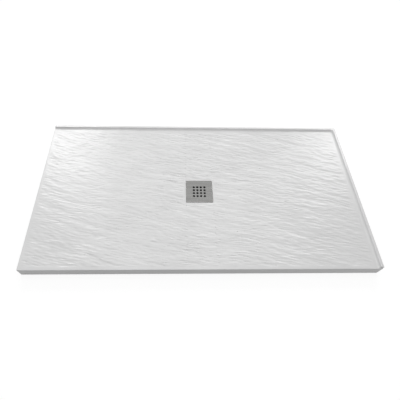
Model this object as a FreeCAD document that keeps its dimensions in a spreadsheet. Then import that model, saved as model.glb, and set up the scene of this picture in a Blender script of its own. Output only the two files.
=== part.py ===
import FreeCAD, Part
import os
import Sketcher
from FreeCAD import Vector

# A rectangular shower tray cast in mineral resin, with its waste fitting.
# Origin: centre of the tray on its underside. +X along the length to the raised end,
# +Y to the raised back, +Z up. Lengths in millimetres.

DIMENSIONS = {
    # tray casting
    "TrayLength": 1400,
    "TrayWidth": 750,
    "EdgeHeight": 45,
    "BandWidth": 12,
    "OuterCornerRound": 3,
    "RimChamfer": 1.5,
    "UndersideChamfer": 1.5,
    # upstands along the back and the right-hand end
    "UpstandHeight": 11,
    "UpstandWidth": 12,
    "UpstandRound": 2.5,
    "UpstandCorner": 14,
    "CoveRadius": 8,
    "CoveLedge": 2,
    # floor, and the sump below its cover
    "LowFloorHeight": 26,
    "SumpGap": 0.75,
    "SeatGap": 1,
    "HoleGap": 3,
    "ReliefDepth": 8.5,
    "WrenchRoom": 17,
    # folded stainless cover
    "CoverSide": 118,
    "CoverSheet": 1.5,
    "CoverDepth": 5,
    "CoverCorner": 2.5,
    "CoverFold": 0.6,
    "CoverSink": 0.5,
    "CoverHoleDia": 10.5,
    "CoverHolePitch": 16,
    "CoverHoleRows": 4,
    # rubber feet glued under the cover
    "PadSide": 12,
    "PadHeight": 5.5,
    "PadChamfer": 1,
    "PadInset": 11.5,
    # waste body
    "TailDia": 84,
    "TailWall": 3,
    "TailClearance": 0.5,
    "SocketDepth": 5.5,
    "MouthWall": 2,
    "LedgeWidth": 2.5,
    "LedgeDrop": 4,
    "FlangeLap": 12,
    "FlangeSheet": 2.5,
    "DishDepth": 1,
    "KeyNotches": 4,
    "NotchWidth": 8,
    "NotchReach": 2.5,
    "NotchDepth": 1.8,
    # seals, washer and nut
    "GasketSheet": 1.5,
    "GasketGap": 1.5,
    "WasherSheet": 1,
    "WasherGap": 0.5,
    "ClampRing": 14,
    "ThreadGap": 0.15,
    "NutWall": 8,
    "NutHeight": 5,
    "NutCollar": 1.5,
    "NutLugs": 8,
    "NutLugWidth": 10,
    "NutLugReach": 8,
    # strainer basket
    "RimGap": 0.4,
    "RimSheet": 1.5,
    "CupGap": 1.5,
    "CupSheet": 1.5,
    "CupDrop": 7.5,
    "DrainSlots": 16,
    "SlotWidth": 2.6,
    "SlotStart": 10,
    "SlotMargin": 4,
    "KnobDia": 10,
    "KnobNeckDia": 6,
    "KnobHeight": 12,
    "KnobHead": 3,
}

# heights and diameters that follow from them
FOLLOWING = {
    "CoveRing": "UpstandWidth + CoveRadius + CoveLedge",
    "SumpSide": "CoverSide + 2 * SumpGap",
    "CoverTop": "LowFloorHeight - CoverSink",
    "PadTop": "CoverTop - CoverSheet",
    "SumpFloor": "PadTop - PadHeight",
    "PadOffset": "CoverSide / 2 - PadInset",
    "SocketDia": "TailDia - 2 * TailWall",
    "MouthDia": "TailDia - 2 * MouthWall",
    "ThroatDia": "MouthDia - 2 * LedgeWidth",
    "WasteHoleDia": "TailDia + 2 * HoleGap",
    "FlangeDia": "WasteHoleDia + 2 * FlangeLap",
    "SeatDia": "FlangeDia + 2 * SeatGap",
    "FlangeUnderside": "SumpFloor - FlangeSheet",
    "FlangeSeat": "FlangeUnderside - GasketSheet",
    "LedgeHeight": "SumpFloor - LedgeDrop",
    "ShoulderHeight": "TailClearance + SocketDepth",
    "GasketBore": "TailDia + 2 * GasketGap",
    "WasherBore": "TailDia + 2 * WasherGap",
    "ClampDia": "TailDia + 2 * ClampRing",
    "NutBore": "TailDia + 2 * ThreadGap",
    "NutDia": "TailDia + 2 * NutWall",
    "ReliefDia": "NutDia + 2 * NutLugReach + 2 * WrenchRoom",
    "WasherTop": "ReliefDepth - GasketSheet",
    "NutTop": "WasherTop - WasherSheet",
    "NutUnderside": "NutTop - NutHeight",
    "RimDia": "MouthDia - 2 * RimGap",
    "CupDia": "ThroatDia - 2 * CupGap",
    "CupUnderside": "LedgeHeight - CupDrop",
    "SlotEnd": "CupDia / 2 - CupSheet - SlotMargin",
}

doc = FreeCAD.newDocument("shower_tray")
sheet = doc.addObject("Spreadsheet::Sheet", "Sizes")


def cells(formula):
    """A formula of aliases, written as a formula of the sheet's cells."""
    known = list(DIMENSIONS) + list(FOLLOWING)
    words = formula.replace("(", "( ").replace(")", " )").split()
    return " ".join("Sizes." + word if word in known else word for word in words)


def fillSheet():
    contents = {alias: str(value) for alias, value in DIMENSIONS.items()}
    contents.update({alias: "=" + formula for alias, formula in FOLLOWING.items()})
    for row, (alias, text) in enumerate(contents.items(), 1):
        sheet.set("A%d" % row, alias)
        sheet.set("B%d" % row, text)
        sheet.setAlias("B%d" % row, alias)
    doc.recompute()


class Measure:
    """A length and the sheet formula that gives it, so drawings are written as arithmetic."""

    def __init__(self, value, formula):
        self.value = value
        self.formula = formula

    def __add__(self, other):
        other = measure(other)
        return Measure(self.value + other.value, "(%s + %s)" % (self.formula, other.formula))

    def __sub__(self, other):
        other = measure(other)
        return Measure(self.value - other.value, "(%s - %s)" % (self.formula, other.formula))

    def __mul__(self, other):
        other = measure(other)
        return Measure(self.value * other.value, "(%s * %s)" % (self.formula, other.formula))

    def __truediv__(self, other):
        other = measure(other)
        return Measure(self.value / other.value, "(%s / %s)" % (self.formula, other.formula))

    def __neg__(self):
        return self * -1


def measure(item):
    return item if isinstance(item, Measure) else Measure(item, str(item))


def size(alias):
    return Measure(float(sheet.get(alias)), "Sizes." + alias)


def bind(item, **measures):
    """Set properties of an object from the sheet, for as long as the document lives."""
    for name, value in measures.items():
        item.setExpression(name, measure(value).formula)


# ---- drawing ----


def newBody(name):
    body = doc.addObject("PartDesign::Body", name)
    body.Label = name
    return body


def originItem(body, role):
    return next(item for item in body.Origin.OriginFeatures if item.Role == role)


def newSketch(body, name, plane="XY_Plane", height=None):
    sketch = body.newObject("Sketcher::SketchObject", name)
    sketch.AttachmentSupport = [(originItem(body, plane), "")]
    sketch.MapMode = "FlatFace"
    if height is not None:
        sketch.setExpression("AttachmentOffset.Base.z", height.formula)
    return sketch


def hold(sketch, kind, where, distance):
    """Dimension a sketch, tied to the sheet."""
    index = sketch.addConstraint(Sketcher.Constraint(kind, *where, distance.value))
    sketch.setExpression("Constraints[%d]" % index, distance.formula)


def holdPoint(sketch, line, x, y):
    """Place the start of a line by its distances from the sketch's axes."""
    for kind, distance, axis in (("DistanceX", x, -2), ("DistanceY", y, -1)):
        if distance.value == 0:
            sketch.addConstraint(Sketcher.Constraint("PointOnObject", line, 1, axis))
        else:
            hold(sketch, kind, (-1, 1, line, 1), distance)


def drawPolygon(sketch, corners):
    corners = [(measure(x), measure(y)) for x, y in corners]
    points = [Vector(x.value, y.value, 0) for x, y in corners]
    count = len(points)
    ends = points[1:] + points[:1]
    sketch.addGeometry([Part.LineSegment(a, b) for a, b in zip(points, ends)], False)
    for line in range(count):
        sketch.addConstraint(Sketcher.Constraint("Coincident", line, 2, (line + 1) % count, 1))
    for line, (x, y) in enumerate(corners):
        holdPoint(sketch, line, x, y)


def drawRectangle(sketch, left, front, right, back):
    drawPolygon(sketch, [(left, front), (right, front), (right, back), (left, back)])


def drawSquare(sketch, side):
    half = side / 2
    drawRectangle(sketch, -half, -half, half, half)


def drawCircle(sketch, diameter, x=None, y=None):
    """A circle at the sketch's centre, or off it by x and y."""
    x, y = measure(x or 0), measure(y or 0)
    centre = Vector(x.value, y.value, 0)
    circle = sketch.addGeometry(Part.Circle(centre, Vector(0, 0, 1), diameter.value / 2), False)
    hold(sketch, "Diameter", (circle,), diameter)
    for kind, distance, axis in (("DistanceX", x, -2), ("DistanceY", y, -1)):
        if distance.value == 0:
            sketch.addConstraint(Sketcher.Constraint("PointOnObject", circle, 3, axis))
        else:
            hold(sketch, kind, (-1, 1, circle, 3), distance)


# ---- features ----


def pad(body, name, sketch, length):
    feature = body.newObject("PartDesign::Pad", name)
    feature.Profile = sketch
    bind(feature, Length=length)
    doc.recompute()
    return feature


def pocket(body, name, sketch, depth, upward=False):
    before = body.Shape.Volume
    feature = body.newObject("PartDesign::Pocket", name)
    feature.Profile = sketch
    feature.Reversed = upward
    bind(feature, Length=depth)
    doc.recompute()
    if body.Shape.Volume >= before:
        raise RuntimeError(name + " removes nothing")
    return feature


def revolve(body, name, sketch):
    feature = body.newObject("PartDesign::Revolution", name)
    feature.Profile = sketch
    feature.ReferenceAxis = (sketch, ["V_Axis"])
    feature.Angle = 360
    doc.recompute()
    return feature


def polar(body, name, feature, count):
    pattern = body.newObject("PartDesign::PolarPattern", name)
    pattern.Originals = [feature]
    pattern.Axis = (originItem(body, "Z_Axis"), [""])
    pattern.Angle = 360
    bind(pattern, Occurrences=count)
    body.Tip = pattern
    doc.recompute()
    return pattern


def near(a, b):
    return abs(a - b) < 1e-4


def level(edge):
    ends = [vertex.Point.z for vertex in edge.Vertexes]
    return near(min(ends), max(ends))


def edgesWhere(shape, test, lying):
    """Names of the lying or upright edges whose ends all pass the test."""
    names = []
    for index, edge in enumerate(shape.Edges, 1):
        if level(edge) == lying and all(test(vertex.Point) for vertex in edge.Vertexes):
            names.append("Edge%d" % index)
    return names


def fillet(body, name, test, radius, lying=True):
    base = body.Tip
    feature = body.newObject("PartDesign::Fillet", name)
    feature.Base = (base, edgesWhere(base.Shape, test, lying))
    bind(feature, Radius=radius)
    doc.recompute()
    return feature


def chamfer(body, name, test, leg):
    base = body.Tip
    feature = body.newObject("PartDesign::Chamfer", name)
    feature.Base = (base, edgesWhere(base.Shape, test, lying=True))
    bind(feature, Size=leg)
    doc.recompute()
    return feature


def makeRing(name, bore, outer, bottom, thickness):
    body = newBody(name)
    section = newSketch(body, name + "_plan", height=bottom)
    drawCircle(section, outer)
    drawCircle(section, bore)
    pad(body, name + "_sheet", section, thickness)
    return body


# ---- tray ----


def makeTray():
    body = newBody("tray_body")
    right, back = size("TrayLength") / 2, size("TrayWidth") / 2
    left, front = -right, -back
    rim, upstand = size("EdgeHeight"), size("UpstandWidth")

    slab_plan = newSketch(body, "SlabPlan")
    drawRectangle(slab_plan, left, front, right, back)
    pad(body, "Slab", slab_plan, rim)

    upstand_plan = newSketch(body, "UpstandPlan", height=rim)
    inner_x, inner_y = right - upstand, back - upstand
    end = size("OuterCornerRound")
    drawPolygon(
        upstand_plan,
        [
            (left + end, inner_y),
            (inner_x, inner_y),
            (inner_x, front + end),
            (right, front + end),
            (right, back),
            (left + end, back),
        ],
    )
    pad(body, "Upstand", upstand_plan, size("UpstandHeight"))
    shapeUpstand(body, inner_x, inner_y)
    cutSump(body)
    cutFalls(body, left, front, right, back)
    cutRelief(body)
    return body


def shapeUpstand(body, inner_x, inner_y):
    """Round the outer corners, the upstand's inside corner, its foot and its top."""
    rim = size("EdgeHeight")
    top = (rim + size("UpstandHeight")).value
    x_end, y_end = (size("TrayLength") / 2).value, (size("TrayWidth") / 2).value

    def onOuterCorner(p):
        return near(abs(p.x), x_end) and near(abs(p.y), y_end)

    def onInsideCorner(p):
        return near(p.x, inner_x.value) and near(p.y, inner_y.value)

    def onFoot(p):
        beside = p.x > inner_x.value - size("UpstandCorner").value - 1e-4
        beside = beside or near(p.y, inner_y.value)
        inside = p.x < inner_x.value + 1e-4 and p.y < inner_y.value + 1e-4
        return near(p.z, rim.value) and beside and inside

    def onTop(p):
        return near(p.z, top)

    def onRim(p):
        return near(p.z, rim.value) and (near(p.x, -x_end) or near(p.y, -y_end))

    fillet(body, "OuterCorners", onOuterCorner, size("OuterCornerRound"), lying=False)
    fillet(body, "InsideCorner", onInsideCorner, size("UpstandCorner"), lying=False)
    chamfer(body, "Rim", onRim, size("RimChamfer"))
    fillet(body, "Cove", onFoot, size("CoveRadius"))
    fillet(body, "UpstandTop", onTop, size("UpstandRound"))


def cutSump(body):
    """The square recess for the cover, the flange's seat and the waste hole."""
    recess = newSketch(body, "RecessPlan", height=size("EdgeHeight"))
    drawSquare(recess, size("SumpSide"))
    pocket(body, "Recess", recess, size("EdgeHeight") - size("SumpFloor"))
    half = (size("SumpSide") / 2).value

    def onRecessCorner(p):
        return near(abs(p.x), half) and near(abs(p.y), half)

    fillet(body, "RecessCorners", onRecessCorner, size("CoverCorner") + size("SumpGap"), lying=False)
    seat = newSketch(body, "SeatPlan", height=size("SumpFloor"))
    drawCircle(seat, size("SeatDia"))
    pocket(body, "FlangeSeat", seat, size("SumpFloor") - size("FlangeSeat"))
    hole = newSketch(body, "HolePlan", height=size("FlangeSeat"))
    drawCircle(hole, size("WasteHoleDia"))
    pocket(body, "WasteHole", hole, size("FlangeSeat"))


def cutFalls(body, left, front, right, back):
    """Four plane falls from the level margin down to the sump's edge."""
    band, cove, half = size("BandWidth"), size("CoveRing"), size("SumpSide") / 2
    falls = body.newObject("PartDesign::SubtractiveWedge", "Falls")
    falls.AttachmentSupport = [(originItem(body, "XZ_Plane"), "")]
    falls.MapMode = "FlatFace"
    bind(falls, Ymin=size("LowFloorHeight"), Ymax=size("EdgeHeight"))
    bind(falls, Xmin=-half, Xmax=half, Zmin=-half, Zmax=half)
    bind(falls, X2min=left + band, X2max=right - cove)
    bind(falls, Z2min=cove - back, Z2max=-(front + band))
    body.Tip = falls
    doc.recompute()


def cutRelief(body):
    relief = newSketch(body, "ReliefPlan")
    drawCircle(relief, size("ReliefDia"))
    pocket(body, "Relief", relief, size("ReliefDepth"), upward=True)

    def onUnderside(p):
        return near(p.z, 0)

    chamfer(body, "UndersideEdge", onUnderside, size("UndersideChamfer"))


# ---- cover ----


def makeCover():
    body = newBody("drain_cover")
    top, depth, side = size("CoverTop"), size("CoverDepth"), size("CoverSide")
    half = (side / 2).value

    plan = newSketch(body, "CoverPlan", height=top - depth)
    drawSquare(plan, side)
    pad(body, "CoverBlank", plan, depth)

    def onCorner(p):
        return near(abs(p.x), half) and near(abs(p.y), half)

    def onTop(p):
        return near(p.z, top.value)

    fillet(body, "CoverCorners", onCorner, size("CoverCorner"), lying=False)
    chamfer(body, "CoverFold", onTop, size("CoverFold"))

    hollow = newSketch(body, "HollowPlan", height=top - size("CoverSheet"))
    drawSquare(hollow, side - size("CoverSheet") * 2)
    pocket(body, "CoverHollow", hollow, depth - size("CoverSheet"))
    inner = half - size("CoverSheet").value

    def onHollowCorner(p):
        return near(abs(p.x), inner) and near(abs(p.y), inner)

    fold = size("CoverCorner") - size("CoverSheet")
    fillet(body, "HollowCorners", onHollowCorner, fold, lying=False)
    cutCoverHoles(body)
    return body


def cutCoverHoles(body):
    rows, pitch = size("CoverHoleRows"), size("CoverHolePitch")
    first = -(rows - 1) * pitch / 2
    plan = newSketch(body, "CoverHolePlan", height=size("CoverTop"))
    drawCircle(plan, size("CoverHoleDia"), first, first)
    hole = pocket(body, "CoverHole", plan, size("CoverDepth"))
    grid = body.newObject("PartDesign::LinearPattern", "CoverHoles")
    grid.Originals = [hole]
    grid.Direction = (originItem(body, "X_Axis"), [""])
    grid.Direction2 = (originItem(body, "Y_Axis"), [""])
    bind(grid, Length=(rows - 1) * pitch, Occurrences=rows)
    bind(grid, Length2=(rows - 1) * pitch, Occurrences2=rows)
    body.Tip = grid
    doc.recompute()


def makePad(name, x_side, y_side):
    body = newBody(name)
    bottom = size("SumpFloor")
    plan = newSketch(body, name + "_plan", height=bottom)
    drawSquare(plan, size("PadSide"))
    pad(body, name + "_block", plan, size("PadHeight"))

    def onSole(p):
        return near(p.z, bottom.value)

    chamfer(body, name + "_sole", onSole, size("PadChamfer"))
    body.setExpression("Placement.Base.x", (size("PadOffset") * x_side).formula)
    body.setExpression("Placement.Base.y", (size("PadOffset") * y_side).formula)
    doc.recompute()
    return body


# ---- waste fitting ----


def makeWaste():
    body = newBody("waste_body")
    seat, top = size("FlangeUnderside"), size("SumpFloor")
    end, shoulder, ledge = size("TailClearance"), size("ShoulderHeight"), size("LedgeHeight")
    socket, throat = size("SocketDia") / 2, size("ThroatDia") / 2
    mouth, tail = size("MouthDia") / 2, size("TailDia") / 2
    flange = size("FlangeDia") / 2
    profile = newSketch(body, "WasteProfile", plane="XZ_Plane")
    drawPolygon(
        profile,
        [
            (socket, end),
            (tail, end),
            (tail, seat),
            (flange, seat),
            (flange, top),
            (mouth, top - size("DishDepth")),
            (mouth, ledge),
            (throat, ledge),
            (throat, shoulder),
            (socket, shoulder),
        ],
    )
    revolve(body, "WasteTurned", profile)
    notch = newSketch(body, "NotchPlan", height=top)
    half = size("NotchWidth") / 2
    drawRectangle(notch, throat, -half, mouth + size("NotchReach"), half)
    cut = pocket(body, "KeyNotch", notch, size("NotchDepth"))
    polar(body, "KeyNotches", cut, size("KeyNotches"))
    return body


def makeNut():
    body = newBody("lock_nut")
    bore, body_radius = size("NutBore") / 2, size("NutDia") / 2
    collar = size("ClampDia") / 2
    bottom, top = size("NutUnderside"), size("NutTop")
    profile = newSketch(body, "NutProfile", plane="XZ_Plane")
    drawPolygon(
        profile,
        [
            (bore, bottom),
            (body_radius, bottom),
            (body_radius, top - size("NutCollar")),
            (collar, top - size("NutCollar")),
            (collar, top),
            (bore, top),
        ],
    )
    revolve(body, "NutTurned", profile)
    lug = newSketch(body, "LugPlan", height=bottom)
    half = size("NutLugWidth") / 2
    start = body_radius - size("NutCollar")
    drawRectangle(lug, start, -half, body_radius + size("NutLugReach"), half)
    lug_block = pad(body, "NutLug", lug, size("NutHeight"))
    polar(body, "NutLugs", lug_block, size("NutLugs"))
    return body


def makeBasket():
    body = newBody("strainer_basket")
    ledge, bottom = size("LedgeHeight"), size("CupUnderside")
    rim, cup = size("RimDia") / 2, size("CupDia") / 2
    inside = cup - size("CupSheet")
    floor = bottom + size("CupSheet")
    neck, knob = size("KnobNeckDia") / 2, size("KnobDia") / 2
    knob_top = bottom + size("KnobHeight")
    head = knob_top - size("KnobHead")
    profile = newSketch(body, "BasketProfile", plane="XZ_Plane")
    drawPolygon(
        profile,
        [
            (0, bottom),
            (cup, bottom),
            (cup, ledge),
            (rim, ledge),
            (rim, ledge + size("RimSheet")),
            (inside, ledge + size("RimSheet")),
            (inside, floor),
            (neck, floor),
            (neck, head),
            (knob, head),
            (knob, knob_top),
            (0, knob_top),
        ],
    )
    revolve(body, "BasketTurned", profile)
    slot_plan = newSketch(body, "SlotPlan", height=floor)
    half = size("SlotWidth") / 2
    drawRectangle(slot_plan, size("SlotStart"), -half, size("SlotEnd"), half)
    slot = pocket(body, "DrainSlot", slot_plan, size("CupSheet"))
    polar(body, "DrainSlots", slot, size("DrainSlots"))
    return body


# ---- assembly ----


def makePads():
    pads = []
    for y_name, y_side in (("front", -1), ("back", 1)):
        for x_name, x_side in (("left", -1), ("right", 1)):
            pads.append(makePad("cover_pad_%s_%s" % (y_name, x_name), x_side, y_side))
    return pads


def makeSeals():
    sheet_height = size("GasketSheet")
    clamp = size("ClampDia")
    return [
        makeRing(
            "flange_gasket", size("GasketBore"), size("FlangeDia"), size("FlangeSeat"), sheet_height
        ),
        makeRing("underside_gasket", size("GasketBore"), clamp, size("WasherTop"), sheet_height),
        makeRing("slip_washer", size("WasherBore"), clamp, size("NutTop"), size("WasherSheet")),
    ]


def checkDocument(pieces):
    for item in doc.Objects:
        if "Invalid" in item.State or "Error" in item.State:
            raise RuntimeError("%s is %s" % (item.Name, item.State))
    for piece in pieces:
        if piece.Shape.isNull() or not piece.Shape.isValid():
            raise RuntimeError(piece.Label + " has no valid shape")


def export(pieces):
    os.makedirs("parts", exist_ok=True)
    for piece in pieces:
        piece.Shape.exportStep("parts/%s.step" % piece.Label)
        box = piece.Shape.BoundBox
        print(
            "%-26s %d solid %12.1f mm3  z %.2f to %.2f"
            % (piece.Label, len(piece.Shape.Solids), piece.Shape.Volume, box.ZMin, box.ZMax)
        )


fillSheet()
pieces = [makeTray(), makeCover(), makeWaste(), makeNut(), makeBasket()]
pieces += makePads() + makeSeals()
doc.recompute()
checkDocument(pieces)
export(pieces)
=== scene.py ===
import math
import bmesh
import bpy
import numpy as np
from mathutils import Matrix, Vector


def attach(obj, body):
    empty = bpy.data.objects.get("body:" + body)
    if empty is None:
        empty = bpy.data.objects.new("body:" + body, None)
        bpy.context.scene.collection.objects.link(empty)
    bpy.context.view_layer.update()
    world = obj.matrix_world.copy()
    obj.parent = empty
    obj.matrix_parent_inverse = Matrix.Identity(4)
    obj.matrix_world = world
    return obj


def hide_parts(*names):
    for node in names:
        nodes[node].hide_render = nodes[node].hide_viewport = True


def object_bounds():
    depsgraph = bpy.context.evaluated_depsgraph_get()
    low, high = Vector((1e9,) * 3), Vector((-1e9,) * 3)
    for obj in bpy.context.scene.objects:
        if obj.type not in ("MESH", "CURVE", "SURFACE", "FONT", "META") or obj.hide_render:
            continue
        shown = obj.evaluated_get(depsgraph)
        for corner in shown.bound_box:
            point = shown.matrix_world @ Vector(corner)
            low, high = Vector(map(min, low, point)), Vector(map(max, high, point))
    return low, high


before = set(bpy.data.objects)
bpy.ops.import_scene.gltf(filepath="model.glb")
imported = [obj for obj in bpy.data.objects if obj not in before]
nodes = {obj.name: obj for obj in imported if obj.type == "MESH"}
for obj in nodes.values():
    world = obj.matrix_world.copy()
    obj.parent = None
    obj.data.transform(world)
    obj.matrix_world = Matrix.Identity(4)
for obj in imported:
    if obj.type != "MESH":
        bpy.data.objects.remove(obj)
cadLow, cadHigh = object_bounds()
mm = 0.001  # the pieces' sizes below are in millimetres
hair = 0.001  # less than this is no distance


# Closed loops of points, and the grids of faces between them.

def circleLoop(radius, z, count=96, x=0, y=0):
    turns = np.linspace(0, 2 * math.pi, count, endpoint=False)
    return [(x + radius * math.cos(t), y + radius * math.sin(t), z) for t in turns]


def roundedSquareLoop(half, corner, z, perCorner=8):
    points = []
    for quarter in range(4):
        start = quarter * math.pi / 2
        centre = np.array([half - corner, half - corner])
        spin = np.array([[math.cos(start), -math.sin(start)], [math.sin(start), math.cos(start)]])
        for step in range(perCorner + 1):
            angle = math.pi / 2 * step / perCorner
            local = centre + corner * np.array([math.cos(angle), math.sin(angle)])
            x, y = spin @ local
            points.append((x, y, z))
    return points


def addLoop(mesh, points):
    return [mesh.verts.new([value * mm for value in point]) for point in points]


def bridge(mesh, first, second):
    count = len(first)
    for index in range(count):
        after = (index + 1) % count
        mesh.faces.new((first[index], first[after], second[after], second[index]))
    return second


def growLoop(mesh, loop, points):
    return bridge(mesh, loop, addLoop(mesh, points))


def fillBetween(mesh, loops):
    # flat faces over the area that the loops bound
    edges = []
    for loop in loops:
        for index, vert in enumerate(loop):
            after = loop[(index + 1) % len(loop)]
            edges.append(mesh.edges.get((vert, after)) or mesh.edges.new((vert, after)))
    bmesh.ops.triangle_fill(mesh, use_beauty=True, use_dissolve=False, edges=edges)


def finishPiece(name, mesh, materials, body, replaced, sharpAngle=35):
    bmesh.ops.recalc_face_normals(mesh, faces=mesh.faces)
    data = bpy.data.meshes.new(name)
    mesh.to_mesh(data)
    mesh.free()
    data.shade_smooth()
    data.set_sharp_from_angle(angle=math.radians(sharpAngle))
    for material in materials:
        data.materials.append(material)
    piece = bpy.data.objects.new(name, data)
    bpy.context.scene.collection.objects.link(piece)
    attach(piece, body)
    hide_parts(*replaced)
    return piece


# Looks of the materials.

noiseLow, noiseHigh = 0.3, 0.7  # the part of a noise's range that is used


def newMaterial(name, values):
    material = bpy.data.materials.new(name)
    material.use_nodes = True
    shader = material.node_tree.nodes["Principled BSDF"]
    for socket, value in values.items():
        shader.inputs[socket].default_value = value
    return material, material.node_tree, shader


def addNode(tree, kind, **values):
    # a value is a setting of the node or, failing that, one of its inputs
    node = tree.nodes.new(kind)
    for name, value in values.items():
        if hasattr(node, name):
            setattr(node, name, value)
        else:
            node.inputs[name.replace("_", " ")].default_value = value
    return node


def noiseFrom(tree, scale, stretch=(1, 1, 1), detail=3, roughness=0.5):
    place = addNode(tree, "ShaderNodeTexCoord")
    mapping = addNode(tree, "ShaderNodeMapping", Scale=stretch)
    noise = addNode(tree, "ShaderNodeTexNoise", Scale=scale, Detail=detail, Roughness=roughness)
    tree.links.new(place.outputs["Object"], mapping.inputs["Vector"])
    tree.links.new(mapping.outputs["Vector"], noise.inputs["Vector"])
    return noise.outputs["Fac"]


def blendRange(tree, source, low, high):
    spread = addNode(tree, "ShaderNodeMapRange")
    limits = {"From Min": noiseLow, "From Max": noiseHigh, "To Min": low, "To Max": high}
    for name, value in limits.items():
        spread.inputs[name].default_value = value
    tree.links.new(source, spread.inputs["Value"])
    return spread.outputs["Result"]


def colourBetween(tree, source, dark, light):
    ramp = addNode(tree, "ShaderNodeValToRGB")
    ramp.color_ramp.elements[0].position = noiseLow
    ramp.color_ramp.elements[0].color = (*dark, 1)
    ramp.color_ramp.elements[1].position = noiseHigh
    ramp.color_ramp.elements[1].color = (*light, 1)
    tree.links.new(source, ramp.inputs["Fac"])
    return ramp.outputs["Color"]


def paint(tree, shader, toneSource, glossSource, look):
    # colour between two tones, and roughness between two limits
    tone = colourBetween(tree, toneSource, look["dark"], look["light"])
    gloss = blendRange(tree, glossSource, *look["roughness"])
    tree.links.new(tone, shader.inputs["Base Color"])
    tree.links.new(gloss, shader.inputs["Roughness"])


def addBump(tree, shader, source, distance, strength):
    bump = addNode(tree, "ShaderNodeBump", Strength=strength, Distance=distance)
    tree.links.new(source, bump.inputs["Height"])
    tree.links.new(bump.outputs["Normal"], shader.inputs["Normal"])


resinLook = {
    "dark": (0.70, 0.70, 0.70),
    "light": (0.74, 0.74, 0.74),
    "roughness": (0.31, 0.39),
    "cloudScale": 9,
    "grainScale": 420,
    "grainStretch": (0.6, 1, 1),
    "grainDepth": 0.00012,
    "grainStrength": 0.5,
    "refraction": 1.56,
}


def makeResin():
    look = resinLook
    material, tree, shader = newMaterial("slateResin", {"IOR": look["refraction"]})
    cloud = noiseFrom(tree, look["cloudScale"], detail=4)
    grain = noiseFrom(tree, look["grainScale"], stretch=look["grainStretch"], detail=2)
    paint(tree, shader, cloud, grain, look)
    addBump(tree, shader, grain, look["grainDepth"], look["grainStrength"])
    return material


undersideLook = {
    "dark": (0.48, 0.48, 0.47),
    "light": (0.62, 0.62, 0.61),
    "roughness": 0.75,
    "blotchScale": 26,
    "blotchDepth": 0.0012,
    "blotchStrength": 0.6,
}


def makeUnderside():
    look = undersideLook
    material, tree, shader = newMaterial("castUnderside", {"Roughness": look["roughness"]})
    blotch = noiseFrom(tree, look["blotchScale"], detail=6, roughness=0.65)
    tone = colourBetween(tree, blotch, look["dark"], look["light"])
    tree.links.new(tone, shader.inputs["Base Color"])
    addBump(tree, shader, blotch, look["blotchDepth"], look["blotchStrength"])
    return material


steelLook = {
    "dark": (0.246, 0.245, 0.240),
    "light": (0.296, 0.295, 0.289),
    "roughness": (0.20, 0.28),
    "brushScale": 260,
    "brushStretch": (0.03, 1, 1),  # long strokes along the tray
    "brushDepth": 0.00001,
    "brushStrength": 0.6,
}


def makeBrushedSteel():
    look = steelLook
    material, tree, shader = newMaterial("brushedSteel", {"Metallic": 1.0})
    brush = noiseFrom(tree, look["brushScale"], look["brushStretch"], detail=3, roughness=0.55)
    paint(tree, shader, brush, brush, look)
    addBump(tree, shader, brush, look["brushDepth"], look["brushStrength"])
    return material


plasticLooks = {
    "whitePlastic": {
        "dark": (0.74, 0.74, 0.72),
        "light": (0.80, 0.80, 0.78),
        "roughness": (0.32, 0.45),
    },
    "blackPlastic": {
        "dark": (0.018, 0.018, 0.019),
        "light": (0.028, 0.028, 0.030),
        "roughness": (0.48, 0.60),
    },
    "blackRubber": {
        "dark": (0.018, 0.018, 0.018),
        "light": (0.028, 0.028, 0.028),
        "roughness": (0.65, 0.85),
    },
}
mouldedSkin = {"cloudScale": 40, "grainScale": 900, "grainDepth": 0.00008, "grainStrength": 0.5}


def makePlastic(name):
    skin = mouldedSkin
    material, tree, shader = newMaterial(name, {"Specular IOR Level": 0.5})
    cloud = noiseFrom(tree, skin["cloudScale"], detail=3)
    grain = noiseFrom(tree, skin["grainScale"], detail=2)
    paint(tree, shader, cloud, grain, plasticLooks[name])
    addBump(tree, shader, grain, skin["grainDepth"], skin["grainStrength"])
    return material


slateResin, castUnderside, brushedSteel = makeResin(), makeUnderside(), makeBrushedSteel()
whitePlastic, blackPlastic, blackRubber = (makePlastic(name) for name in plasticLooks)
print("materials ready")


# The slate relief of the floor, as a height in millimetres at each point.

slateFloor = {
    "seed": 41,
    "meanSlope": 0.24,  # how far the streaks fall towards the front as they run right
    "rightSlope": 0.04,  # added at the right end, taken off at the left end
    "endSlope": 0.17,  # added at both ends
    "endPlace": 700,  # how far out the ends are
    "bend": 20.0,  # how far a streak wanders
    "bendLength": (300, 150),
    "cleftLength": (210, 30),  # the layers' broken steps
    "cleftLevels": 4.0,
    "cleftRiser": 0.24,
    "cleftHeight": 0.62,
    "grainLength": (56, 7.5),  # ridges between the steps
    "grainHeight": 0.88,
    "fineLength": (26, 4.6),
    "fineHeight": 1.3,
    "fissureLength": (300, 48),  # thin cracks, in patches
    "fissureReach": 0.055,
    "fissureDepth": 1.0,
    "patchLength": (150, 90),
    "patchContrast": 3,
    "middleGain": 0.5,  # the relief is deeper along the middle of the length
    "middleReach": 280,
    "calmPlace": (-550, 30),  # and shallower around one place
    "calmReach": 190,
    "calmShare": 0.55,
    "reliefLimit": 2.3,  # no ridge or cleft goes further
    "edgeFade": 5,  # the relief dies out over these widths
    "coveFade": 24,
    "sumpFade": 8,
    "sumpBand": 2,
}
latticeSize = 512  # cells before the noise repeats
latticeGain = 1.5  # brings the noise to about -1 to 1


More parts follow.
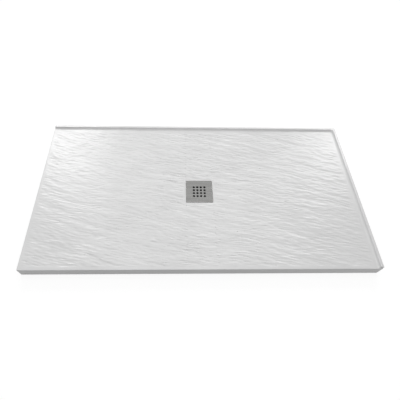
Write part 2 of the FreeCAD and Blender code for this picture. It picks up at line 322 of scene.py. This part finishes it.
def latticeNoise(u, v, seed):
    # smooth noise, from a random slope at each whole-number place
    angles = np.random.default_rng(seed).random((latticeSize, latticeSize)) * 2 * math.pi
    gradX, gradY = np.cos(angles), np.sin(angles)
    cellU, cellV = np.floor(u).astype(int), np.floor(v).astype(int)
    partU, partV = u - cellU, v - cellV
    total = 0
    for stepU in (0, 1):
        for stepV in (0, 1):
            row, column = (cellV + stepV) % latticeSize, (cellU + stepU) % latticeSize
            slope = gradX[row, column] * (partU - stepU) + gradY[row, column] * (partV - stepV)
            weightU = smooth(1 - abs(partU - stepU))
            weightV = smooth(1 - abs(partV - stepV))
            total = total + slope * weightU * weightV
    return total * latticeGain


def smooth(t):
    t = np.clip(t, 0, 1)
    return t * t * t * (t * (6 * t - 15) + 10)


def layeredNoise(u, v, seed, layers):
    # each layer is twice as fine as the one before, and half as strong
    total, reach = 0, 0
    for layer in range(layers):
        strength = 0.5 ** layer
        total = total + strength * latticeNoise(u * 2 ** layer, v * 2 ** layer, seed + layer)
        reach += strength
    return total / reach


def slateRelief(x, y):
    s = slateFloor
    seed, end = s["seed"], s["endPlace"]

    def along(lengths, across):
        return x / lengths[0], across / lengths[1]

    # the streaks' own coordinate, which is y bent by their slope
    streak = y + s["meanSlope"] * x + s["rightSlope"] * x ** 2 / (2 * end)
    streak = streak + s["endSlope"] * x ** 3 / (3 * end ** 2)
    streak = streak + s["bend"] * layeredNoise(*along(s["bendLength"], y), seed, 3)

    cleft = layeredNoise(*along(s["cleftLength"], streak), seed + 10, 4) * s["cleftLevels"]
    level = np.floor(cleft)
    step = level + smooth((cleft - level - 0.5) / s["cleftRiser"] + 0.5)
    grain = layeredNoise(*along(s["grainLength"], streak), seed + 20, 2)
    fine = latticeNoise(*along(s["fineLength"], streak), seed + 30)
    crack = layeredNoise(*along(s["fissureLength"], streak), seed + 40, 3)
    patch = latticeNoise(*along(s["patchLength"], streak), seed + 50)
    patch = smooth(0.5 + s["patchContrast"] * patch)
    fissure = smooth(1 - abs(crack) / s["fissureReach"]) * patch
    relief = s["cleftHeight"] * step + s["grainHeight"] * grain + s["fineHeight"] * fine
    relief = relief - s["fissureDepth"] * fissure

    fromCalm = (x - s["calmPlace"][0]) ** 2 + (y - s["calmPlace"][1]) ** 2
    gain = 1 + s["middleGain"] * np.exp(-(x / s["middleReach"]) ** 2)
    gain = gain - s["calmShare"] * np.exp(-fromCalm / s["calmReach"] ** 2)
    return s["reliefLimit"] * np.tanh(relief * gain / s["reliefLimit"])


# The tray: one cast shell, with its relief in the mesh.

tray = {
    "halfLength": round(cadHigh[0] / mm, 3),
    "halfWidth": round(cadHigh[1] / mm, 3),
    "edgeHeight": 45,
    "band": 12,
    "cornerRound": 3,
    "rimRound": 1.5,
    "undersideChamfer": 1.5,
    "upstandHeight": 11,
    "upstandWidth": 12,
    "upstandRound": 2.5,
    "insideCorner": 14,
    "cove": 8,
    "coveLedge": 2,
    "lowFloor": 26,  # where the falls end
    "sumpHalf": 59.75,  # the square recess for the cover
    "sumpCorner": 3.25,
    "sumpEdgeRound": 0.5,
    "sumpFloor": 18.5,
    "seatRadius": 58,
    "seatHeight": 14.5,
    "holeRadius": 45,
    "reliefRadius": 75,
    "reliefHeight": 8.5,
    # the lines of the mesh
    "cellLong": 6.9,
    "cellWide": 2.2,
    "coveSteps": 8,
    "roundSteps": 5,
    "rimSteps": 4,
    "bandLine": 8.5,  # an extra line on the level band
    "cornerLead": 2,  # and one beside the inside corner
    "nearSump": (0.0, 0.15, 0.3, 0.5, 1.2, 3.6),  # close lines round the recess
    "sumpTurn": (0.2, 0.45, 0.75),  # and in its corners, as parts of their radius
    "rimDrop": 1.5,  # first step down the outer side
    "wallDrop": 0.6,  # and down the recess wall
    # the rough underside is all below the first height, and its middle below the second
    "roughHeight": 1.4,
    "roughMiddleHeight": 9,
    "roughMiddleRadius": 77,
}


def quarterSteps(count):
    return [math.pi / 2 * step / count for step in range(count + 1)]


def upstandLines():
    # distance in from the outer face, rise of the inner side, most rise that the outer side allows
    width, cove, turn = tray["upstandWidth"], tray["cove"], tray["upstandRound"]
    full = tray["upstandHeight"]
    wallTop = full - turn
    foot = width + cove
    lines = [(foot + tray["coveLedge"], 0, full)]
    for a in quarterSteps(tray["coveSteps"]):
        lines.append((foot - cove * math.sin(a), cove * (1 - math.cos(a)), full))
    for a in quarterSteps(tray["roundSteps"]):
        lines.append((width - turn * (1 - math.cos(a)), wallTop + turn * math.sin(a), full))
    lines.append((width / 2, full, full))
    for a in quarterSteps(tray["roundSteps"]):
        lines.append((turn * (1 - math.sin(a)), full, wallTop + turn * math.cos(a)))
    return lines


def plainSideLines():
    # distance in from the outer face, rise, most rise that the upstand's end allows
    turn, full, end = tray["upstandRound"], tray["upstandHeight"], tray["cornerRound"]
    lines = []
    for a in quarterSteps(tray["rimSteps"]):
        lines.append((tray["rimRound"] * (1 - math.cos(a)), 0, 0))
    lines.append((end, 0, 0))
    for a in quarterSteps(tray["roundSteps"]):
        lines.append((end + turn * (1 - math.cos(a)), 0, full - turn + turn * math.sin(a)))
    lines += [(tray["bandLine"], 0, full), (tray["band"], 0, full)]
    return lines


def spaced(start, end, step):
    count = max(1, round(abs(end - start) / step))
    return list(np.linspace(start, end, count + 1))


def lineSet(half, step):
    # the grid's lines from the plain side, past the recess, to the upstand
    hole, corner, full = tray["sumpHalf"], tray["sumpCorner"], tray["upstandHeight"]
    insideStart = half - tray["upstandWidth"] - tray["insideCorner"]
    outward = [hole + gap for gap in tray["nearSump"]]
    inward = [hole - corner * part for part in tray["sumpTurn"]]
    middle = spaced(-half + tray["band"], -outward[-1], step)[1:-1]
    middle += [-place for place in outward[::-1] + inward]
    middle += spaced(-hole + corner, hole - corner, step)
    middle += inward[::-1] + outward
    middle += spaced(outward[-1], insideStart, step)[1:]
    middle += [insideStart + tray["cornerLead"]]
    low = [(-half + gap, rise, cap) for gap, rise, cap in plainSideLines()]
    high = [(half - gap, rise, cap) for gap, rise, cap in upstandLines()]
    rows = low + [(place, 0, full) for place in middle] + high
    return tuple(np.array(column) for column in zip(*rows))


def roundCorner(x, y, centre, signs, rings, radii):
    # bends the square rings round a centre into arcs, each of its own radius
    u, v = (x - centre[0]) * signs[0], (y - centre[1]) * signs[1]
    ring = np.maximum(u, v)
    radius = np.interp(ring, rings, radii)
    along = abs(u - v)
    here = (u > 0) & (v > 0) & (ring <= rings[-1] + hair) & (along < radius)
    angle = math.pi / 4 * (1 - along / np.where(radius > 0, radius, 1))
    far = ring - radius + radius * np.cos(angle)
    side = ring - radius + radius * np.sin(angle)
    newU, newV = np.where(u >= v, far, side), np.where(u >= v, side, far)
    x = np.where(here, centre[0] + signs[0] * newU, x)
    y = np.where(here, centre[1] + signs[1] * newV, y)
    return x, y


def insideDistance(x, y, halfX, halfY, corner):
    # how far a point lies inside a rounded rectangle
    qx, qy = abs(x) - (halfX - corner), abs(y) - (halfY - corner)
    outside = np.hypot(np.maximum(qx, 0), np.maximum(qy, 0))
    return corner - outside - np.minimum(np.maximum(qx, qy), 0)


def edgeDrop(distance, radius):
    # how far a rounded edge lies below its sharp one
    inner = np.clip(radius - distance, 0, radius)
    return radius - np.sqrt(radius ** 2 - inner ** 2)


def trayGrid():
    t = tray
    halfX, halfY, hole, corner = t["halfLength"], t["halfWidth"], t["sumpHalf"], t["sumpCorner"]

    # a flat grid, and how far each of its points rises on the upstands
    lineX, riseX, capX = lineSet(halfX, t["cellLong"])
    lineY, riseY, capY = lineSet(halfY, t["cellWide"])
    x, y = np.meshgrid(lineX, lineY)
    rise = np.maximum(*np.meshgrid(riseX, riseY))
    rise = np.minimum(rise, np.minimum(*np.meshgrid(capX, capY)))

    # the corners of the upstands, the outside and the recess, bent round
    inside = t["upstandWidth"] + t["insideCorner"]
    wall = t["insideCorner"] + t["upstandRound"]
    outer = inside - t["cornerRound"]
    x, y = roundCorner(
        x, y, (halfX - inside, halfY - inside), (1, 1),
        (0, wall, outer, inside), (0, wall, 0, t["cornerRound"]),
    )
    for signs in ((-1, -1), (-1, 1), (1, -1)):
        centre = (signs[0] * (halfX - t["cornerRound"]), signs[1] * (halfY - t["cornerRound"]))
        x, y = roundCorner(x, y, centre, signs, (0, t["cornerRound"]), (0, t["cornerRound"]))
    near, far = (corner + gap for gap in t["nearSump"][-2:])
    for signs in ((-1, -1), (-1, 1), (1, -1), (1, 1)):
        centre = (signs[0] * (hole - corner), signs[1] * (hole - corner))
        x, y = roundCorner(x, y, centre, signs, (0, near, far), (0, near, 0))

    # four falls from the band and the coves to the recess, then the rounded edges
    margin = t["upstandWidth"] + t["cove"] + t["coveLedge"]
    fromLeft, fromFront = x + halfX - t["band"], y + halfY - t["band"]
    fromRight, fromBack = halfX - margin - x, halfY - margin - y
    share = np.minimum(
        np.minimum(fromLeft / (halfX - t["band"] - hole), fromRight / (halfX - margin - hole)),
        np.minimum(fromFront / (halfY - t["band"] - hole), fromBack / (halfY - margin - hole)),
    )
    share = np.clip(share, 0, 1)
    z = t["edgeHeight"] - (t["edgeHeight"] - t["lowFloor"]) * share + rise
    outline = insideDistance(x, y, halfX, halfY, t["cornerRound"])
    z = z - np.where(rise == 0, edgeDrop(outline, t["rimRound"]), 0)
    sumpEdge = -insideDistance(x, y, hole, hole, corner)
    z = z - edgeDrop(np.maximum(sumpEdge, 0), t["sumpEdgeRound"])

    # the slate relief on the falls
    fade = smooth(np.minimum(fromLeft, fromFront) / slateFloor["edgeFade"])
    fade = fade * smooth(np.minimum(fromRight, fromBack) / slateFloor["coveFade"])
    fade = fade * smooth((sumpEdge - slateFloor["sumpBand"]) / slateFloor["sumpFade"])
    z = z + slateRelief(x, y) * fade
    return lineX, lineY, x, y, z


def lowered(loop, drop):
    return [(v.co.x / mm, v.co.y / mm, v.co.z / mm - drop) for v in loop]


def onUnderside(centre):
    inMiddle = centre.xy.length < tray["roughMiddleRadius"]
    return centre.z < tray["roughHeight"] or (inMiddle and centre.z < tray["roughMiddleHeight"])


def buildTray():
    t = tray
    lineX, lineY, x, y, z = trayGrid()
    countX, countY = len(lineX), len(lineY)
    number = np.arange(countX * countY).reshape(countY, countX)

    # faces between the grid's lines, but none over the recess
    hole = t["sumpHalf"]
    keepX = (lineX[:-1] > hole - hair) | (lineX[1:] < hair - hole)
    keepY = (lineY[:-1] > hole - hair) | (lineY[1:] < hair - hole)
    keep = keepX[None, :] | keepY[:, None]
    corners = (number[:-1, :-1], number[:-1, 1:], number[1:, 1:], number[1:, :-1])
    quads = np.stack(corners, -1)[keep]
    points = np.stack((x, y, z), -1).reshape(-1, 3) * mm

    data = bpy.data.meshes.new("trayGrid")
    data.from_pydata(points.tolist(), [], quads.tolist())
    mesh = bmesh.new()
    mesh.from_mesh(data)
    mesh.verts.ensure_lookup_table()

    # the grid's outer and inner rim
    around = list(number[0]) + list(number[1:, -1])
    around += list(number[-1, -2::-1]) + list(number[-2:0:-1, 0])
    left, right = np.argmin(abs(lineX + hole)), np.argmin(abs(lineX - hole))
    front, back = np.argmin(abs(lineY + hole)), np.argmin(abs(lineY - hole))
    rim = list(number[front, left:right]) + list(number[front:back, right])
    rim += list(number[back, right:left:-1]) + list(number[back:front:-1, left])
    outer = [mesh.verts[index] for index in around]
    inner = [mesh.verts[index] for index in rim]

    # the outer sides and the underside
    outline = np.array([vert.co[:2] for vert in outer]) / mm
    straight = np.array([t["halfLength"], t["halfWidth"]]) - t["cornerRound"]
    anchor = np.clip(outline, -straight, straight)
    cut = t["undersideChamfer"]
    pulled = anchor + (outline - anchor) * (1 - cut / t["cornerRound"])
    side = growLoop(mesh, outer, lowered(outer, t["rimDrop"]))
    side = growLoop(mesh, side, [(px, py, cut) for px, py in outline])
    base = growLoop(mesh, side, [(px, py, 0) for px, py in pulled])
    relief = addLoop(mesh, circleLoop(t["reliefRadius"] + cut, 0))
    fillBetween(mesh, [base, relief])

    # up through the relief, the waste hole and the seat to the recess
    seat = relief
    for radius, height in (
        (t["reliefRadius"], cut),
        (t["reliefRadius"], t["reliefHeight"]),
        (t["holeRadius"], t["reliefHeight"]),
        (t["holeRadius"], t["seatHeight"]),
        (t["seatRadius"], t["seatHeight"]),
        (t["seatRadius"], t["sumpFloor"]),
    ):
        seat = growLoop(mesh, seat, circleLoop(radius, height))
    wallFoot = growLoop(mesh, inner, lowered(inner, t["wallDrop"]))
    foot = [(v.co.x / mm, v.co.y / mm, t["sumpFloor"]) for v in inner]
    wallFoot = growLoop(mesh, wallFoot, foot)
    fillBetween(mesh, [wallFoot, seat])
    bmesh.ops.delete(mesh, geom=[v for v in mesh.verts if not v.link_faces], context="VERTS")
    for face in mesh.faces:
        face.material_index = int(onUnderside(face.calc_center_median() / mm))
    piece = finishPiece(
        "slate_tray", mesh, [slateResin, castUnderside], "tray", ["tray_body"]
    )
    print("tray has", len(piece.data.polygons), "faces")


buildTray()


# The drain cover: a folded sheet with sixteen round holes.

cover = {
    "half": 59,
    "corner": 2.5,
    "top": 25.5,
    "depth": 5,
    "sheet": 1.5,
    "foldRound": 0.7,
    "skirtRound": 0.2,
    "holeRadius": 5.25,
    "holeLip": 0.25,
    "holePoints": 40,
    "flatMargin": 0.4,  # flat rim kept beside each rounded edge
    "holeRows": 4,
    "holePitch": 16,
}


def buildCover():
    c = cover
    mesh = bmesh.new()
    top, under, low = c["top"], c["top"] - c["sheet"], c["top"] - c["depth"]
    first = -(c["holeRows"] - 1) * c["holePitch"] / 2
    places = [first + c["holePitch"] * row for row in range(c["holeRows"])]
    lip, wide, around = c["holeLip"], c["holeRadius"] + c["holeLip"], c["holePoints"]
    topLoops, underLoops = [], []
    for holeX in places:
        for holeY in places:
            margin = circleLoop(wide + c["flatMargin"], top, around, holeX, holeY)
            topLoops.append(addLoop(mesh, margin))
            loop = topLoops[-1]
            for angle in quarterSteps(3):
                radius, height = wide - lip * math.sin(angle), top - lip * (1 - math.cos(angle))
                loop = growLoop(mesh, loop, circleLoop(radius, height, around, holeX, holeY))
            foot = circleLoop(c["holeRadius"], under, around, holeX, holeY)
            underLoops.append(growLoop(mesh, loop, foot))

    # the folded edge: inset of the side, inset of the corner's radius, height
    bend, sheet, turn = c["foldRound"], c["sheet"], c["skirtRound"]
    edges = []
    for angle in quarterSteps(5):
        inset = bend * (1 - math.sin(angle))
        edges.append((inset, inset, top - bend * (1 - math.cos(angle))))
    edges += [(0, 0, low + turn), (turn, turn, low)]
    edges += [(sheet - turn, sheet - turn, low), (sheet, sheet, low + turn), (sheet, sheet, under)]
    flat = roundedSquareLoop(c["half"] - bend - c["flatMargin"], c["corner"] - bend, top)
    topEdge = loop = addLoop(mesh, flat)
    for inset, less, height in edges:
        square = roundedSquareLoop(c["half"] - inset, c["corner"] - less, height)
        loop = growLoop(mesh, loop, square)
    fillBetween(mesh, [topEdge] + topLoops)
    fillBetween(mesh, [loop] + underLoops)
    finishPiece("cover_plate", mesh, [brushedSteel], "cover", ["drain_cover"])


buildCover()
print("cover ready")


# Pieces kept from the CAD, which only take a finish.

keptFinishes = {
    "waste_body": blackPlastic,
    "slip_washer": whitePlastic,
    "lock_nut": blackPlastic,
    "strainer_basket": blackPlastic,
    "flange_gasket": blackRubber,
    "underside_gasket": blackRubber,
    "cover_pad_front_left": blackRubber,
    "cover_pad_front_right": blackRubber,
    "cover_pad_back_left": blackRubber,
    "cover_pad_back_right": blackRubber,
}
for nodeName, finish in keptFinishes.items():
    nodes[nodeName].data.materials.clear()
    nodes[nodeName].data.materials.append(finish)
print("kept pieces painted")


# The studio floor, the lamps and the camera.

stageLook = {
    "floorSize": 14.0,
    "floorDrop": 0.0005,
    "floorColour": (0.20, 0.20, 0.20, 1),
    "floorGlow": 0.85,  # makes the floor look white without lighting the tray
    "skyStrength": 0.51,  # as a light
    # a soft dark side of the sky, seen in gloss only
    "shade": {"toward": (0.50, 0.33, 0.80), "outerAngle": 24, "innerAngle": 8, "depth": 1.0},
    # painted shade: a black disc under the waste, for the darkness of the trap's hole
    "shadeDisc": {"radius": 60, "level": -0.4, "colour": (0.01, 0.01, 0.01, 1), "roughness": 0.9},
    "lamps": [
        # name, place, aim, width, watts
        ("windowLeft", (-1.03, 1.22, 1.10), (-0.62, 0.30, 0.04), 0.42, 6.6),
        ("windowRight", (1.256, 1.155, 1.09), (0.64, 0.28, 0.04), 0.35, 4.4),
        ("softBox", (0.0, 0.3, 3.0), (0, 0, 0), 2.5, 21),
        ("rakingBack", (1.2, 5.4, 2.6), (0, 0, 0), 3.2, 64),
    ],
}


def seenDirectly(tree):
    # 1 for what the camera, gloss or glass sees, 0 for the light that it gives
    path = addNode(tree, "ShaderNodeLightPath")
    either = addNode(tree, "ShaderNodeMath", operation="MAXIMUM")
    anyOfThree = addNode(tree, "ShaderNodeMath", operation="MAXIMUM")
    tree.links.new(path.outputs["Is Camera Ray"], either.inputs[0])
    tree.links.new(path.outputs["Is Glossy Ray"], either.inputs[1])
    tree.links.new(either.outputs[0], anyOfThree.inputs[0])
    tree.links.new(path.outputs["Is Transmission Ray"], anyOfThree.inputs[1])
    return anyOfThree.outputs[0]


def skyShade(tree):
    shade = stageLook["shade"]
    direction = addNode(tree, "ShaderNodeTexCoord")
    toward = addNode(tree, "ShaderNodeVectorMath", operation="DOT_PRODUCT")
    toward.inputs[1].default_value = Vector(shade["toward"]).normalized()
    soft = addNode(tree, "ShaderNodeMapRange", interpolation_type="SMOOTHSTEP")
    soft.inputs["From Min"].default_value = math.cos(math.radians(shade["outerAngle"]))
    soft.inputs["From Max"].default_value = math.cos(math.radians(shade["innerAngle"]))
    soft.inputs["To Max"].default_value = shade["depth"]
    path = addNode(tree, "ShaderNodeLightPath")
    glossOnly = addNode(tree, "ShaderNodeMath", operation="MULTIPLY")
    tree.links.new(direction.outputs["Generated"], toward.inputs[0])
    tree.links.new(toward.outputs["Value"], soft.inputs["Value"])
    tree.links.new(soft.outputs["Result"], glossOnly.inputs[0])
    tree.links.new(path.outputs["Is Glossy Ray"], glossOnly.inputs[1])
    return glossOnly.outputs[0]


def addPaintedDrainShade():
    # painted shade: a flat black disc on the floor below the waste, standing in for the dark hole
    # for the trap
    shadeDiscLook = stageLook["shadeDisc"]
    mesh = bmesh.new()
    mesh.faces.new(addLoop(mesh, circleLoop(shadeDiscLook["radius"], shadeDiscLook["level"])))
    data = bpy.data.meshes.new("paintedDrainShade")
    mesh.to_mesh(data)
    mesh.free()
    shadeDisc = bpy.data.objects.new("paintedDrainShade", data)
    bpy.context.scene.collection.objects.link(shadeDisc)
    values = {"Base Color": shadeDiscLook["colour"], "Roughness": shadeDiscLook["roughness"]}
    data.materials.append(newMaterial("drainShade", values)[0])


def buildFloor():
    size = stageLook["floorSize"] / 2
    corners = [(-size, -size, 0), (size, -size, 0), (size, size, 0), (-size, size, 0)]
    data = bpy.data.meshes.new("studioFloor")
    data.from_pydata(corners, [], [(0, 1, 2, 3)])
    floor = bpy.data.objects.new("studioFloor", data)
    floor.location.z = -stageLook["floorDrop"]
    bpy.context.scene.collection.objects.link(floor)
    material = bpy.data.materials.new("studioPaper")
    material.use_nodes = True
    tree = material.node_tree
    tree.nodes.clear()
    paper = addNode(tree, "ShaderNodeBsdfDiffuse", Color=stageLook["floorColour"])
    glow = addNode(tree, "ShaderNodeEmission")
    amount = addNode(tree, "ShaderNodeMath", operation="MULTIPLY")
    amount.inputs[1].default_value = stageLook["floorGlow"]
    both = addNode(tree, "ShaderNodeAddShader")
    output = addNode(tree, "ShaderNodeOutputMaterial")
    tree.links.new(seenDirectly(tree), amount.inputs[0])
    tree.links.new(amount.outputs[0], glow.inputs["Strength"])
    tree.links.new(paper.outputs[0], both.inputs[0])
    tree.links.new(glow.outputs[0], both.inputs[1])
    tree.links.new(both.outputs[0], output.inputs["Surface"])
    data.materials.append(material)


def buildSky():
    # white to look at, but dimmer as a light
    world = bpy.data.worlds.new("studioSky")
    bpy.context.scene.world = world
    world.use_nodes = True
    tree = world.node_tree
    sky = tree.nodes["Background"]
    sky.inputs["Color"].default_value = (1, 1, 1, 1)
    strength = addNode(tree, "ShaderNodeMapRange")
    strength.inputs["To Min"].default_value = stageLook["skyStrength"]
    strength.inputs["To Max"].default_value = 1.0
    darker = addNode(tree, "ShaderNodeMath", operation="SUBTRACT")
    tree.links.new(seenDirectly(tree), strength.inputs["Value"])
    tree.links.new(strength.outputs["Result"], darker.inputs[0])
    tree.links.new(skyShade(tree), darker.inputs[1])
    tree.links.new(darker.outputs[0], sky.inputs["Strength"])


def addLamp(name, place, aim, width, watts):
    light = bpy.data.lights.new(name, "AREA")
    light.shape = "SQUARE"
    light.size = width
    light.energy = watts
    lamp = bpy.data.objects.new(name, light)
    lamp.location = place
    toward = Vector(aim) - Vector(place)
    lamp.rotation_euler = toward.to_track_quat("-Z", "Y").to_euler()
    bpy.context.scene.collection.objects.link(lamp)


cameraLook = {
    "place": (-0.10661, -0.80302, 1.17072),
    "turn": (30.8161, -1.7168, -0.9310),
    "lens": 28.142,
    "sensor": 36,
    "shift": (0.0350, 0.0368),
}


def addCamera():
    data = bpy.data.cameras.new("photoCamera")
    data.sensor_fit = "HORIZONTAL"
    data.sensor_width = cameraLook["sensor"]
    data.lens = cameraLook["lens"]
    data.shift_x, data.shift_y = cameraLook["shift"]
    camera = bpy.data.objects.new("photoCamera", data)
    camera.location = cameraLook["place"]
    camera.rotation_euler = [math.radians(angle) for angle in cameraLook["turn"]]
    bpy.context.scene.collection.objects.link(camera)
    bpy.context.scene.camera = camera


buildFloor()
addPaintedDrainShade()
buildSky()
for lamp in stageLook["lamps"]:
    addLamp(*lamp)
addCamera()
bpy.context.scene.view_settings.view_transform = "Standard"
print("stage, lamps and camera ready")
